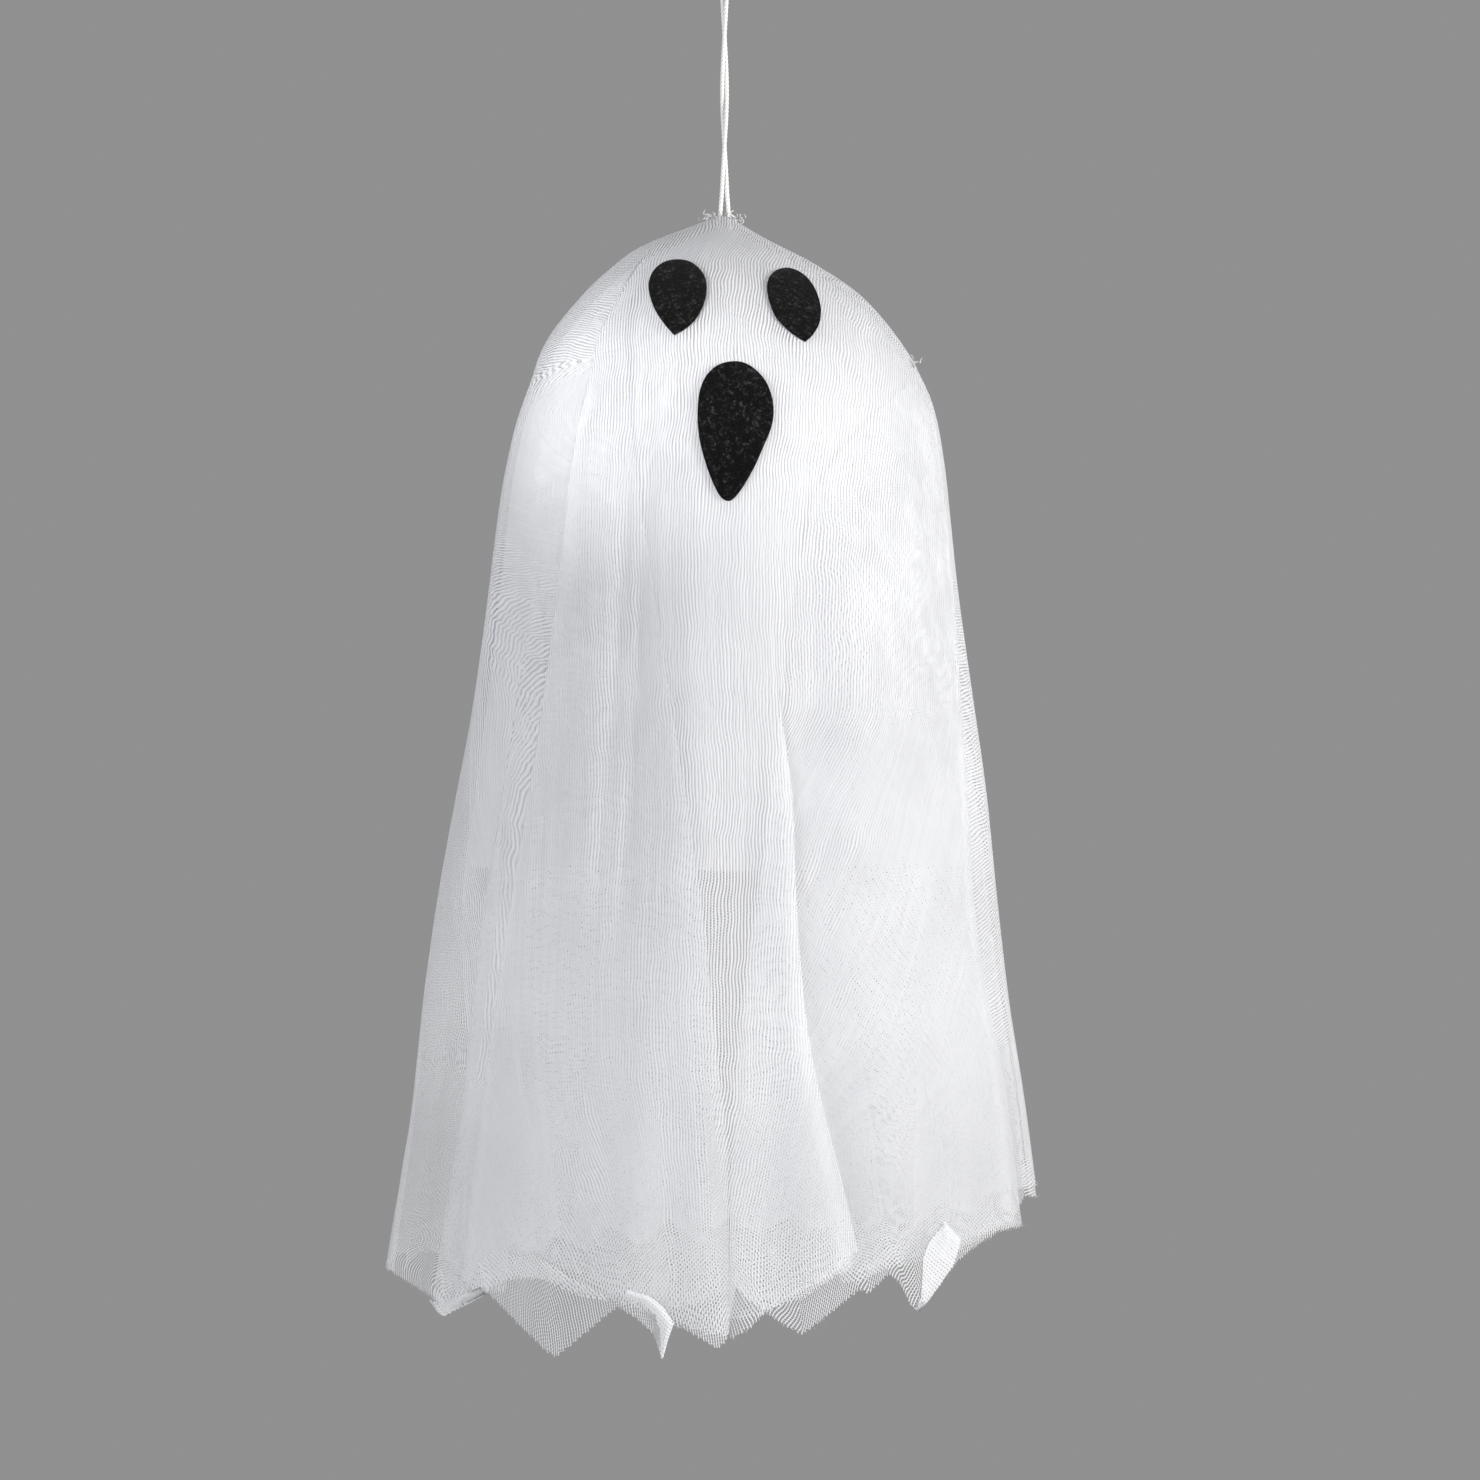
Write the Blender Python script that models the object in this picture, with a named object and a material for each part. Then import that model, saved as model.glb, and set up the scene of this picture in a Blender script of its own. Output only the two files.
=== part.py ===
# Hanging ghost decoration: net cloth draped over a wire dome, with a felt face, on a doubled string.
#
# Metres, +Z up. The origin is the inside crown of the string's loop, where a hook carries it, and the
# ghost hangs below. The face looks along -Y. Angles go round from the front (-Y) towards +X, in
# degrees. Depths are measured down from the top of the cloth.

import math

import bmesh
import bpy
from mathutils import Vector

# String and dome
HANG_HEIGHT = 0.128
DOME_RADIUS = 0.094
DOME_HEIGHT = 0.100
CROWN_POWER = 1.8
SIDE_POWER = 1.35

# Skirt below the dome
SKIRT_HEIGHT = 0.374
SKIRT_FLARE = 0.1375
POINT_DROP = 0.026
POINT_PITCH = 0.049
# How much the hem's notches are cut above the skirt's full height, at angles round the ghost
HEM_RISE = (
    (-90, 0.018),
    (-60, 0.010),
    (-20, 0.011),
    (10, 0.010),
    (35, 0.016),
    (52, 0.024),
    (69, 0.037),
    (90, 0.047),
    (125, 0.042),
    (155, 0.034),
    (185, 0.028),
    (230, 0.022),
    (270, 0.018),
)
RISE_START = 0.72

# Cloth
CLOTH = 0.0006
TOUCH = 0.0003
WELD = 0.00001
FACET_SAG = 0.0003
LAYER_STEP_TOP = 0.0015
LAYER_STEP_HEM = 0.0055
CROWN_HOLE = 0.0036
RIPPLE = 0.0045
RIPPLES_ROUND = 23

# A fold's own shape, in degrees, and the share of a panel over which it eases between two layers
FOLD_TIP = 0.7
FOLD_SPREAD = 10.0
FOLD_FULL = 4.0
PANEL_EASE = 0.3
STEP_ON_TUCK = 12.0
STEP_ON_PANEL = 11.0
EVEN_STATION = 0.05

# Rows of the cloth: shares of the dome's radius, then of the skirt's height
DOME_ROWS = (0.16, 0.36, 0.56, 0.74, 0.88, 0.97, 1.0)
SKIRT_ROWS = (0.12, 0.26, 0.39, 0.52, 0.66, 0.80, 0.91, 1.0)

# Lining
LINING_DEPTH = 0.286
LINING_HOLE = 0.0044
FLUTES = 24
FLUTE_DEPTH = 0.0024
FLUTE_RADIUS = 0.040
LINING_DOME_ROWS = (0.22, 0.48, 0.72, 0.90, 1.0)
LINING_SKIRT_ROWS = (0.33, 0.67, 1.0)

# Wire frame
ARCH_WIRE = 0.00125
HOOP_WIRE = 0.0015
CROSSING_REACH = 0.030
ARCH_STATIONS = 24
HOOP_SIDES = 48
WIRE_SIDES = 8

# Felt
FELT = 0.0015
FELT_POINTS = 26
FELT_RINGS = (1.0, 0.62, 0.28)

# String
CORD_RADIUS = 0.00095
CORD_STEP = 0.0049
CORD_FINENESS = 16
KNOT_RADIUS = 0.0056
KNOT_HEIGHT = 0.0078
KNOT_SIDES = 14
# Down the knot's side: share of its radius and of its height
KNOT_PROFILE = (
    (0.0, 0.0),
    (0.64, 0.11),
    (0.9, 0.2),
    (1.0, 0.36),
    (0.88, 0.52),
    (0.96, 0.72),
    (0.7, 0.95),
    (0.0, 1.0),
)

# The folds, in order round the ghost from the front left. side is +1 where the upper layer ends at the
# edge and the cloth folds back under it towards smaller angles, and -1 the other way round. edge is
# the angle of the fold's edge, and tuck how far it reaches back, at stations from the top (0) to the
# hem (1).
FOLDS = (
    {
        "side": -1,
        "edge": ((0.03, -46), (0.10, -42), (0.60, -45), (0.80, -48), (1.0, -48)),
        "tuck": ((0.03, 0), (0.18, 14), (0.60, 40), (0.82, 48.5), (1.0, 49.5)),
    },
    {
        "side": 1,
        "edge": ((0.28, 13.3), (0.60, 15), (0.79, 17.6), (1.0, 24)),
        "tuck": ((0.28, 0), (0.50, 3), (0.60, 6), (0.79, 14), (1.0, 21.5)),
    },
    {
        "side": 1,
        "edge": ((0.16, 80), (0.61, 64.4), (0.79, 66.6), (1.0, 69)),
        "tuck": ((0.14, 0), (0.30, 10), (0.60, 20), (1.0, 32)),
    },
    {
        "side": -1,
        "edge": ((0.05, 108), (1.0, 100)),
        "tuck": ((0.06, 0), (0.20, 12), (0.60, 25), (1.0, 38)),
    },
    {
        "side": 1,
        "edge": ((0.05, 170), (1.0, 177)),
        "tuck": ((0.05, 0), (0.20, 12), (0.60, 23), (1.0, 34)),
    },
    {
        "side": -1,
        "edge": ((0.05, 194), (1.0, 185)),
        "tuck": ((0.08, 0), (0.20, 8), (0.60, 18), (1.0, 26)),
    },
    {
        "side": 1,
        "edge": ((0.10, 262), (0.44, 266), (0.58, 254), (0.76, 242), (1.0, 234)),
        "tuck": ((0.10, 0), (0.25, 9), (0.60, 18), (1.0, 20)),
    },
)

# Felt cut-outs: centre across, depth of the top and of the point, width, and lean in degrees
FACE = {
    "left_eye": {"across": -0.0208, "top": 0.0197, "point": 0.0518, "width": 0.0254, "lean": 0},
    "right_eye": {"across": 0.0300, "top": 0.0228, "point": 0.0550, "width": 0.0246, "lean": 14},
    "mouth": {"across": 0.0042, "top": 0.0634, "point": 0.1240, "width": 0.0328, "lean": -4},
}
FELT_SHAPE = 0.62

# One leg of the string, from the knot up to the loop's crown: height above the cloth's top, turn round
# the vertical in degrees, and distance from it. The other leg is the same, half a turn round.
CORD_LEG = (
    (-0.0142, -45, 0.00360),
    (-0.0080, -45, 0.00360),
    (-0.0020, -25, 0.00230),
    (0.0060, 0, 0.00190),
    (0.0150, 28, 0.00125),
    (0.0240, 62, 0.00112),
    (0.0330, 97, 0.00112),
    (0.0420, 132, 0.00112),
    (0.0510, 166, 0.00112),
    (0.0600, 200, 0.00112),
    (0.0690, 234, 0.00112),
    (0.0780, 266, 0.00112),
    (0.0870, 298, 0.00112),
    (0.0960, 332, 0.00125),
    (0.1030, 357, 0.00200),
    (0.1100, 360, 0.00460),
    (0.1170, 360, 0.00660),
    (0.1230, 360, 0.00600),
    (0.1272, 360, 0.00340),
)

HEM_DEPTH = DOME_HEIGHT + SKIRT_HEIGHT
TOP = -HANG_HEIGHT


def clear_scene():
    for item in list(bpy.data.objects):
        bpy.data.objects.remove(item, do_unlink=True)


def material(name, colour, roughness, metallic=0.0):
    made = bpy.data.materials.new(name)
    made.use_nodes = True
    shader = made.node_tree.nodes["Principled BSDF"]
    shader.inputs["Base Color"].default_value = (*colour, 1.0)
    shader.inputs["Roughness"].default_value = roughness
    shader.inputs["Metallic"].default_value = metallic
    return made


def add_object(name, data, finish):
    made = bpy.data.objects.new(name, data)
    bpy.context.collection.objects.link(made)
    data.materials.append(finish)
    return made


def mesh_of(name, points, faces):
    mesh = bpy.data.meshes.new(name)
    mesh.from_pydata([tuple(p) for p in points], [], faces)
    mesh.shade_smooth()
    return mesh


def between(pairs, at):
    """The value at a station, straight between the listed ones."""
    for (low, first), (high, second) in zip(pairs, pairs[1:]):
        if at <= high:
            share = max(0.0, (at - low) / (high - low))
            return first + share * (second - first)
    return pairs[-1][1]


def smooth(share):
    share = min(1.0, max(0.0, share))
    return share * share * (3 - 2 * share)


def round_place(radius, angle, height):
    turn = math.radians(angle)
    return Vector((radius * math.sin(turn), -radius * math.cos(turn), height))


# The draped form


def form_radius(depth, inset=0.0):
    """Radius of the draped form at a depth, taken this far in from its outside."""
    share = (depth - inset) / (DOME_HEIGHT - inset)
    radius = DOME_RADIUS - inset
    if share < 1:
        return radius * (1 - (1 - max(share, 0)) ** CROWN_POWER) ** (1 / SIDE_POWER)
    return radius + SKIRT_FLARE * (depth - DOME_HEIGHT)


def depth_on_dome(share, inset=0.0):
    """Depth at which the dome has this share of its full radius."""
    down = 1 - (1 - share**SIDE_POWER) ** (1 / CROWN_POWER)
    return inset + down * (DOME_HEIGHT - inset)


def layer_step(depth):
    share = max(0.0, (depth - DOME_HEIGHT) / SKIRT_HEIGHT)
    return LAYER_STEP_TOP + share * (LAYER_STEP_HEM - LAYER_STEP_TOP)


def ripple(angle, depth):
    """The skirt's loose waves below the lining, shared by all its layers and weaker at the front."""
    share = (depth - LINING_DEPTH) / (HEM_DEPTH - LINING_DEPTH)
    calm = 0.35 + 0.65 * smooth(abs((angle + 180) % 360 - 180) / 110)
    return RIPPLE * smooth(share) * calm * math.cos(math.radians(RIPPLES_ROUND * angle))


# The shroud


def fold_columns(fold):
    """(reach, tip, layer) for each column of a fold, in the order of the cloth."""
    steps = math.ceil(fold["tuck"][-1][1] / STEP_ON_TUCK)
    shares = [step / steps for step in range(steps + 1)]
    columns = [(0, 0, 0), (0, 1, 0.5)]
    columns += [(share, 0, 1) for share in shares]
    columns += [(1, -1, 1.5)]
    columns += [(share, 0, 2) for share in reversed(shares)]
    return columns if fold["side"] > 0 else columns[::-1]


def fold_places(fold, columns, station):
    """(angle, layer) of a fold's columns at a station. Above its start the fold is spread flat."""
    edge = between(fold["edge"], station)
    tuck = between(fold["tuck"], station)
    opened = smooth(tuck / FOLD_FULL)
    places = []
    for index, (reach, tip, layer) in enumerate(columns):
        folded = edge - fold["side"] * (reach * tuck - tip * FOLD_TIP)
        flat = edge + (index / (len(columns) - 1) - 0.5) * FOLD_SPREAD
        places.append((flat + opened * (folded - flat), layer * opened))
    return places


def panel_places(start, end, count):
    """(angle, layer) of the columns between two folds, eased between the layers at its ends."""
    places = []
    for index in range(count):
        share = (index + 1) / (count + 1)
        layer = start[1] * (1 - smooth(share / PANEL_EASE))
        layer += end[1] * smooth((share - 1 + PANEL_EASE) / PANEL_EASE)
        places.append((start[0] + share * (end[0] - start[0]), layer))
    return places


def panel_counts():
    counts = []
    for fold, after in zip(FOLDS, FOLDS[1:] + FOLDS[:1]):
        wide = (after["edge"][-1][1] - fold["edge"][-1][1]) % 360
        counts.append(max(1, round(wide / STEP_ON_PANEL) - 1))
    return counts


def section(station):
    """(angle, layer) for each column all round at a station."""
    folds = [fold_places(fold, fold_columns(fold), station) for fold in FOLDS]
    after = folds[1:] + [[(angle + 360, layer) for angle, layer in folds[0]]]
    places = []
    for own, following, count in zip(folds, after, panel_counts()):
        places += own + panel_places(own[-1], following[0], count)
    even = 1 - smooth(station / EVEN_STATION)
    first = places[0][0]
    spread = [first + 360 * index / len(places) for index in range(len(places))]
    return [(angle + even * (flat - angle), layer) for (angle, layer), flat in zip(places, spread)]


def shroud_place(angle, layer, depth):
    inset = layer * layer_step(depth)
    at_depth = depth + inset * max(0.0, 1 - depth / DOME_HEIGHT)
    radius = form_radius(at_depth, inset) + ripple(angle, depth)
    return round_place(radius, angle, TOP - at_depth)


def hem_rise(angle, station):
    """How much a place of the cloth is drawn up towards the hem's own line."""
    pull = smooth((station - RISE_START) / (1 - RISE_START))
    return pull * between(HEM_RISE, (angle + 90) % 360 - 90)


def row_depths():
    hole = CROWN_HOLE / DOME_RADIUS
    dome = [depth_on_dome(share) for share in (hole, *DOME_ROWS)]
    return dome + [DOME_HEIGHT + share * SKIRT_HEIGHT for share in SKIRT_ROWS]


def hem_points(row):
    """How far each column of the hem hangs down, as points cut along the cloth."""
    drops, along = [], 0.0
    for index, place in enumerate(row):
        along += (place - row[index - 1]).length
        wave = abs(2 * ((along / POINT_PITCH) % 1) - 1)
        drops.append(POINT_DROP * wave)
    return drops


def sheet_faces(rows, columns):
    faces = []
    for row in range(rows - 1):
        for column in range(columns):
            beside = (column + 1) % columns
            top, low = row * columns, (row + 1) * columns
            faces.append((top + column, low + column, low + beside, top + beside))
    return faces


def thicken(item, thickness):
    shell = item.modifiers.new("thickness", "SOLIDIFY")
    shell.thickness = thickness
    shell.offset = -1.0
    shell.use_even_offset = False


def make_shroud(finish):
    rows = []
    for depth in row_depths():
        station = depth / HEM_DEPTH
        rows.append(
            [
                shroud_place(angle, layer, depth - hem_rise(angle, station))
                for angle, layer in section(station)
            ]
        )
    drops = hem_points(rows[-1])
    rows.append(
        [
            shroud_place(angle, layer, HEM_DEPTH - hem_rise(angle, 1.0) + drop)
            for (angle, layer), drop in zip(section(1.0), drops)
        ]
    )
    points = [place for row in rows for place in row]
    mesh = mesh_of("outer_shroud", points, sheet_faces(len(rows), len(rows[0])))
    thicken(add_object("outer_shroud", mesh, finish), CLOTH)


# The lining


def lining_inset(depth):
    return 2 * layer_step(depth) + CLOTH + 2 * FACET_SAG + TOUCH


def lining_place(column, depth):
    angle = 360 * column / (2 * FLUTES)
    inset = lining_inset(depth)
    at_depth = depth + inset * max(0.0, 1 - depth / DOME_HEIGHT)
    radius = form_radius(at_depth, inset)
    valley = FLUTE_DEPTH * min(1.0, radius / FLUTE_RADIUS) if column % 2 else 0.0
    return round_place(radius - valley, angle, TOP - at_depth)


def make_lining(finish):
    crown = DOME_RADIUS - lining_inset(0.0)
    depths = [depth_on_dome(share) for share in (LINING_HOLE / crown, *LINING_DOME_ROWS)]
    below = LINING_DEPTH - DOME_HEIGHT
    depths += [DOME_HEIGHT + share * below for share in LINING_SKIRT_ROWS]
    columns = 2 * FLUTES
    points = [lining_place(column, depth) for depth in depths for column in range(columns)]
    mesh = mesh_of("inner_lining", points, sheet_faces(len(depths), columns))
    thicken(add_object("inner_lining", mesh, finish), CLOTH)


# The wire frame


def frame_inset():
    """From the form's outside to the centre of the hoop's wire."""
    return lining_inset(0.0) + CLOTH + FLUTE_DEPTH + TOUCH + FACET_SAG + HOOP_WIRE


def rod(name, points, radius, finish, resolution=2):
    curve = bpy.data.curves.new(name, "CURVE")
    curve.dimensions = "3D"
    curve.bevel_depth = radius
    curve.bevel_resolution = resolution
    curve.use_fill_caps = True
    line = curve.splines.new("POLY")
    line.points.add(len(points) - 1)
    for point, place in zip(line.points, points):
        point.co = (*place, 1.0)
    line.use_smooth = True
    return add_object(name, curve, finish)


def arch_points(angle, lower):
    """From foot to foot over the crown. lower is how far the crown passes under the other arch."""
    inset = frame_inset()
    foot = DOME_RADIUS - inset
    points = []
    for index in range(1, ARCH_STATIONS):
        side = 2 * index / ARCH_STATIONS - 1
        share = abs(math.sin(side * math.pi / 2))
        near = 1 - smooth(share * foot / CROSSING_REACH)
        height = TOP - depth_on_dome(share, inset) - lower * near
        points.append(round_place(math.copysign(share * foot, side), angle, height))
    ends = []
    for side in (-1, 1):
        low = round_place(side * foot, angle, TOP - DOME_HEIGHT)
        ends.append((low, low + Vector((0, 0, 2 * ARCH_WIRE))))
    return [ends[0][0], ends[0][1], *points, ends[1][1], ends[1][0]]


def make_frame(finish):
    rod("side_arch", arch_points(90, 0.0), ARCH_WIRE, finish)
    rod("front_arch", arch_points(0, 2 * ARCH_WIRE + TOUCH), ARCH_WIRE, finish)
    bpy.ops.mesh.primitive_torus_add(
        location=(0, 0, TOP - DOME_HEIGHT - TOUCH - HOOP_WIRE),
        major_radius=DOME_RADIUS - frame_inset(),
        minor_radius=HOOP_WIRE,
        major_segments=HOOP_SIDES,
        minor_segments=WIRE_SIDES,
    )
    hoop = bpy.context.object
    hoop.name = "shoulder_hoop"
    hoop.data.materials.append(finish)
    hoop.data.shade_smooth()


# The face


def felt_outline(shape):
    """(across, up) round a drop with its point down, as seen from the front, about its centre."""
    tall = shape["point"] - shape["top"]
    turns = [2 * math.pi * index / FELT_POINTS for index in range(FELT_POINTS)]
    widths = [math.sin(turn) * math.sin(turn / 2) ** FELT_SHAPE for turn in turns]
    scale = shape["width"] / (2 * max(widths))
    lean = math.radians(shape["lean"])
    outline = []
    for turn, width in zip(turns, widths):
        across, up = width * scale, -math.cos(turn) * tall / 2
        outline.append(
            (
                across * math.cos(lean) - up * math.sin(lean),
                across * math.sin(lean) + up * math.cos(lean),
            )
        )
    return outline


def felt_place(shape, across, up, lift):
    """A point on the cloth's front, lifted off it."""
    depth = (shape["top"] + shape["point"]) / 2 - up
    side = shape["across"] + across
    radius = form_radius(depth, -lift)
    return Vector((side, -math.sqrt(radius * radius - side * side), TOP - depth))


def make_felt(name, shape, finish):
    outline = felt_outline(shape)
    sides = [TOUCH, TOUCH + FELT]
    points, faces = [], []
    for lift in sides:
        for size in FELT_RINGS:
            points += [felt_place(shape, x * size, z * size, lift) for x, z in outline]
        points.append(felt_place(shape, 0, 0, lift))
    count, rings = FELT_POINTS, len(FELT_RINGS)
    top = rings * count + 1
    for layer, base in enumerate((0, top)):
        made = []
        last = base + (rings - 1) * count
        for index in range(count):
            beside = (index + 1) % count
            for outer in range(base, last, count):
                inner = outer + count
                made.append((outer + index, outer + beside, inner + beside, inner + index))
            made.append((last + index, last + beside, last + count))
        faces += made if layer else [face[::-1] for face in made]
    for index in range(count):
        beside = (index + 1) % count
        faces.append((index, beside, top + beside, top + index))
    add_object(name, mesh_of(name, points, faces), finish)


# The string


def cord_route():
    leg = [round_place(away, 90 + turn, TOP + up) for up, turn, away in CORD_LEG]
    other = [Vector((-place.x, -place.y, place.z)) for place in leg]
    return [*leg, Vector((0, 0, CORD_RADIUS)), *reversed(other)]


def eased(route, step):
    """Points at about this step along a smooth curve through the route."""
    ends = [2 * route[0] - route[1], *route, 2 * route[-1] - route[-2]]
    fine = []
    for before, first, second, after in zip(ends, ends[1:], ends[2:], ends[3:]):
        for part in range(CORD_FINENESS):
            t = part / CORD_FINENESS
            fine.append(
                0.5
                * (
                    2 * first
                    + (second - before) * t
                    + (2 * before - 5 * first + 4 * second - after) * t**2
                    + (3 * first - before - 3 * second + after) * t**3
                )
            )
    fine.append(route[-1])
    lengths = [0.0]
    for first, second in zip(fine, fine[1:]):
        lengths.append(lengths[-1] + (second - first).length)
    count = round(lengths[-1] / step)
    points, at = [], 0
    for index in range(count + 1):
        want = lengths[-1] * index / count
        while at < len(fine) - 2 and lengths[at + 1] < want:
            at += 1
        share = (want - lengths[at]) / (lengths[at + 1] - lengths[at])
        points.append(fine[at].lerp(fine[at + 1], share))
    return points


def make_string(finish):
    rod("hanging_cord", eased(cord_route(), CORD_STEP), CORD_RADIUS, finish)
    # A stopper knot, sloping off from its top, which bears on the wires' crossing
    under = frame_inset() + 2 * ARCH_WIRE + TOUCH + ARCH_WIRE + TOUCH
    mesh = bpy.data.meshes.new("cord_knot")
    form = bmesh.new()
    outline = [
        form.verts.new((share * KNOT_RADIUS, 0, TOP - under - down * KNOT_HEIGHT))
        for share, down in KNOT_PROFILE
    ]
    edges = [form.edges.new(pair) for pair in zip(outline, outline[1:])]
    bmesh.ops.spin(
        form,
        geom=outline + edges,
        axis=(0, 0, 1),
        cent=(0, 0, 0),
        angle=2 * math.pi,
        steps=KNOT_SIDES,
    )
    bmesh.ops.remove_doubles(form, verts=form.verts, dist=WELD)
    bmesh.ops.recalc_face_normals(form, faces=form.faces)
    form.to_mesh(mesh)
    form.free()
    mesh.shade_smooth()
    add_object("cord_knot", mesh, finish)


def main():
    clear_scene()
    net = material("white_net", (0.86, 0.87, 0.88), 0.9)
    lining_net = material("lining_net", (0.84, 0.85, 0.87), 0.9)
    felt = material("black_felt", (0.012, 0.011, 0.012), 0.95)
    wire = material("coated_wire", (0.80, 0.80, 0.79), 0.45)
    cotton = material("white_cotton", (0.85, 0.84, 0.81), 0.85)
    make_shroud(net)
    make_lining(lining_net)
    make_frame(wire)
    for name, shape in FACE.items():
        make_felt(name, shape, felt)
    make_string(cotton)


main()
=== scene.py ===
import math
import random

import bmesh
import bpy
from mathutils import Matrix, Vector
from mathutils.bvhtree import BVHTree


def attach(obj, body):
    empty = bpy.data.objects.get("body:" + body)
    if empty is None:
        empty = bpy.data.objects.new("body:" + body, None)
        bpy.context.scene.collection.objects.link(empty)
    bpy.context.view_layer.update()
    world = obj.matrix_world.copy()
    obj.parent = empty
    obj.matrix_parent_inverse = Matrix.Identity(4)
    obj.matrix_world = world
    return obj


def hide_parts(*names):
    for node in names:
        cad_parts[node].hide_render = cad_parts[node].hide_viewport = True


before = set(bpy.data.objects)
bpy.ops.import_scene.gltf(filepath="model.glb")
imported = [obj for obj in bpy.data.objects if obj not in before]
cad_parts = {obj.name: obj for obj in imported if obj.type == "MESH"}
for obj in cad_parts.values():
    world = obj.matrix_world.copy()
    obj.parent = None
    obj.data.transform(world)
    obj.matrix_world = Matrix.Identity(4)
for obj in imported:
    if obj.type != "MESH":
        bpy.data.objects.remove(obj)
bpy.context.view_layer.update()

# Measures of the photograph: its scale at the ghost's axis, and a camera placed to match it
photo = {
    "pixel": 0.0004374,
    "middle": 740,
    "distance": 2.4,
    "across": 0.00678,
    "height": -0.35676,
}
clothTop = -0.128
scene = bpy.context.scene
scene.cycles.transparent_max_bounces = 40
scene.cycles.max_bounces = 12
scene.cycles.diffuse_bounces = 6
scene.cycles.transmission_bounces = 8
scene.view_settings.view_transform = "Standard"


def addObject(name, data):
    made = bpy.data.objects.new(name, data)
    scene.collection.objects.link(made)
    return made


def smooth(share):
    share = min(1.0, max(0.0, share))
    return share * share * (3 - 2 * share)


def between(pairs, at):
    # The value at a place, straight between the listed ones.
    for (low, first), (high, second) in zip(pairs, pairs[1:]):
        if at <= high:
            share = max(0.0, (at - low) / (high - low))
            return first + share * (second - first)
    return pairs[-1][1]


def eased(pairs, at):
    # The value at a place on a smooth curve through the listed ones.
    last = len(pairs) - 2
    if at <= pairs[0][0]:
        return pairs[0][1]
    if at >= pairs[-1][0]:
        return pairs[-1][1]
    index = 0
    while index < last and at > pairs[index + 1][0]:
        index += 1
    (low, first), (high, second) = pairs[index], pairs[index + 1]
    before = pairs[max(0, index - 1)]
    after = pairs[min(last + 1, index + 2)]
    wide = high - low
    rise = (second - before[1]) / (high - before[0]) * wide
    fall = (after[1] - first) / (after[0] - low) * wide
    t = (at - low) / wide
    return (
        first * (2 * t**3 - 3 * t**2 + 1)
        + second * (3 * t**2 - 2 * t**3)
        + rise * (t**3 - 2 * t**2 + t)
        + fall * (t**3 - t**2)
    )


# The camera

cameraData = bpy.data.cameras.new("camera")
cameraData.sensor_width = 36
cameraData.lens = 36 * photo["distance"] / (1480 * photo["pixel"])
camera = addObject("camera", cameraData)
camera.location = (photo["across"], -photo["distance"], photo["height"])
camera.rotation_euler = (math.pi / 2, 0, 0)
scene.camera = camera
print("camera made")


# Node helpers


def newMaterial(name):
    made = bpy.data.materials.new(name)
    made.use_nodes = True
    tree = made.node_tree
    tree.nodes.clear()
    return made, tree


def addNode(tree, kind, links=(), **settings):
    node = tree.nodes.new(kind)
    for key, value in settings.items():
        setattr(node, key, value)
    for socket, source in links:
        target = node.inputs[socket]
        if isinstance(source, bpy.types.NodeSocket):
            tree.links.new(source, target)
        else:
            target.default_value = source
    return node


def maths(tree, operation, *values):
    return addNode(tree, "ShaderNodeMath", enumerate(values), operation=operation).outputs[0]


def ramp(tree, source, stops):
    node = addNode(tree, "ShaderNodeValToRGB", [("Fac", source)])
    while len(node.color_ramp.elements) < len(stops):
        node.color_ramp.elements.new(0.5)
    for element, (place, colour) in zip(node.color_ramp.elements, stops):
        element.position = place
        element.color = (*colour, 1.0)
    return node.outputs["Color"]


def objectPlace(tree):
    return addNode(tree, "ShaderNodeTexCoord").outputs["Object"]


def noise(tree, place, scale, detail=2.0, roughness=0.5):
    links = [("Vector", place), ("Scale", scale), ("Detail", detail), ("Roughness", roughness)]
    return addNode(tree, "ShaderNodeTexNoise", links).outputs["Fac"]


def bumpFrom(tree, height, strength, distance):
    links = [("Strength", strength), ("Distance", distance), ("Height", height)]
    return addNode(tree, "ShaderNodeBump", links).outputs[0]


def mapRange(tree, value, low, high, first, last):
    links = [("Value", value), ("From Min", low), ("From Max", high), ("To Min", first), ("To Max", last)]
    return addNode(tree, "ShaderNodeMapRange", links).outputs[0]


def showSurface(tree, shader):
    addNode(tree, "ShaderNodeOutputMaterial", [("Surface", shader.outputs[0])])


def smoothMesh(name, points, faces):
    mesh = bpy.data.meshes.new(name)
    mesh.from_pydata([tuple(point) for point in points], [], faces)
    mesh.shade_smooth()
    return mesh


def dress(piece, finish, node=None):
    # Gives a piece its material and its place in the part, and hides the CAD node it stands for
    piece.data.materials.append(finish)
    if node:
        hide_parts(node)
    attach(piece, "root")


# The string: two strands of three-ply cotton, from the knot up to the loop and back

string = {
    "radius": 0.00095,
    "step": 0.00045,
    "sides": 18,
    "plyDepth": 0.24,
    "layLength": 0.0056,
    "leg": (
        (-0.0142, -45, 0.00360), (-0.0080, -45, 0.00360), (-0.0020, -25, 0.00230),
        (0.0040, -6, 0.00165), (0.0110, 16, 0.00118), (0.0190, 44, 0.00102), (0.0330, 97, 0.00100),
        (0.0420, 132, 0.00100), (0.0510, 166, 0.00100), (0.0600, 200, 0.00100),
        (0.0690, 234, 0.00100), (0.0780, 266, 0.00100), (0.0870, 298, 0.00100),
        (0.0960, 332, 0.00115), (0.1030, 357, 0.00200), (0.1100, 360, 0.00460),
        (0.1170, 360, 0.00660), (0.1230, 360, 0.00600), (0.1272, 360, 0.00340),
    ),
}


def roundPlace(radius, angle, height, shift=0.0):
    turn = math.radians(angle)
    return Vector((shift + radius * math.sin(turn), -radius * math.cos(turn), height))


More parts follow.
